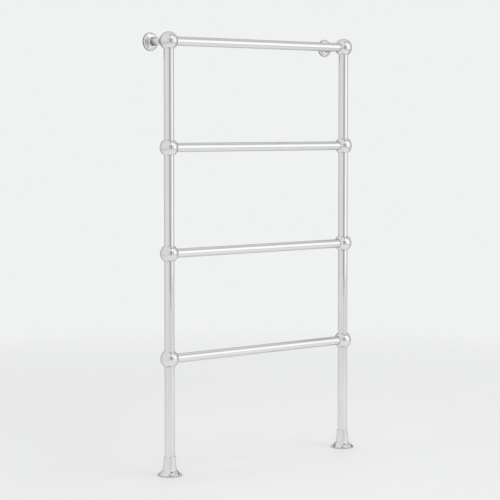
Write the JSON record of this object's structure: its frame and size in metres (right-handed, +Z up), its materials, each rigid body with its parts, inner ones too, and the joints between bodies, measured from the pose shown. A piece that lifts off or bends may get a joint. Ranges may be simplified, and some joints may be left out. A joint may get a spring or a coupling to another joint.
{
  "type": "towel warmer rack",
  "caption": "Floor-standing towel warmer of chrome tube: ball-jointed posts and cross bars on bell-shaped feet, held to the wall by short brackets with round roses.",
  "frame": {"origin": "on the floor, in the middle of the box around the whole rack, feet and wall brackets included", "axes": "+X along the cross bars to the right as seen from the room, +Y towards the wall, +Z up"},
  "size_m": [0.7166, 0.1152, 1.2],
  "materials": {
    "polished_chrome": "mirror-polished chrome plate",
    "machined_brass": "turned and left bare",
    "plated_steel": "zinc-plated, satin",
    "black_rubber": "matt"
  },
  "bodies": {
    "rail_frame": {"ball_left_bottom": "polished_chrome", "ball_left_lower": "polished_chrome", "ball_left_upper": "polished_chrome", "ball_left_top": "polished_chrome", "ball_right_bottom": "polished_chrome", "ball_right_lower": "polished_chrome", "ball_right_upper": "polished_chrome", "ball_right_top": "polished_chrome", "post_left_leg": "polished_chrome", "post_left_lower": "polished_chrome", "post_left_middle": "polished_chrome", "post_left_upper": "polished_chrome", "post_right_leg": "polished_chrome", "post_right_lower": "polished_chrome", "post_right_middle": "polished_chrome", "post_right_upper": "polished_chrome", "bar_bottom": "polished_chrome", "bar_lower": "polished_chrome", "bar_upper": "polished_chrome", "bar_top": "polished_chrome", "floor_gasket_left": "black_rubber", "floor_gasket_right": "black_rubber", "floor_flange_left": "machined_brass", "floor_flange_right": "machined_brass", "inlet_insert_left": "machined_brass", "inlet_insert_right": "machined_brass", "wall_plate_left": "plated_steel", "wall_plate_right": "plated_steel", "plate_screw_left": "plated_steel", "plate_screw_right": "plated_steel", "bracket_stem_left": "polished_chrome", "bracket_stem_right": "polished_chrome", "bleed_valve_body": "polished_chrome", "bleed_seal": "black_rubber"},
    "left_foot_cover": {"foot_cover_left": "polished_chrome", "grip_ring_left": "black_rubber"},
    "left_wall_rose": {"wall_rose_left": "polished_chrome", "rose_collar_left": "polished_chrome", "collar_screw_left": "plated_steel"},
    "right_foot_cover": {"foot_cover_right": "polished_chrome", "grip_ring_right": "black_rubber"},
    "right_wall_rose": {"wall_rose_right": "polished_chrome", "rose_collar_right": "polished_chrome", "collar_screw_right": "plated_steel"},
    "bleed_key_screw": {"bleed_screw": "plated_steel"}
  },
  "joints": [
    {"name": "left_foot_cover_slide", "type": "slide", "parent": "rail_frame", "child": "left_foot_cover", "axis": [0, 0, 1], "range_m": [0, 0.24]},
    {"name": "right_foot_cover_slide", "type": "slide", "parent": "rail_frame", "child": "right_foot_cover", "axis": [0, 0, 1], "range_m": [0, 0.24]},
    {"name": "left_wall_rose_slide", "type": "slide", "parent": "rail_frame", "child": "left_wall_rose", "axis": [0, -1, 0], "range_m": [0, 0.011]},
    {"name": "right_wall_rose_slide", "type": "slide", "parent": "rail_frame", "child": "right_wall_rose", "axis": [0, -1, 0], "range_m": [0, 0.011]},
    {"name": "bleed_screw_turn", "type": "hinge", "parent": "rail_frame", "child": "bleed_key_screw", "pos_m": [0.35, -0.02435, 1.175], "axis": [1, 0, 0], "range_deg": [0, 180]}
  ]
}
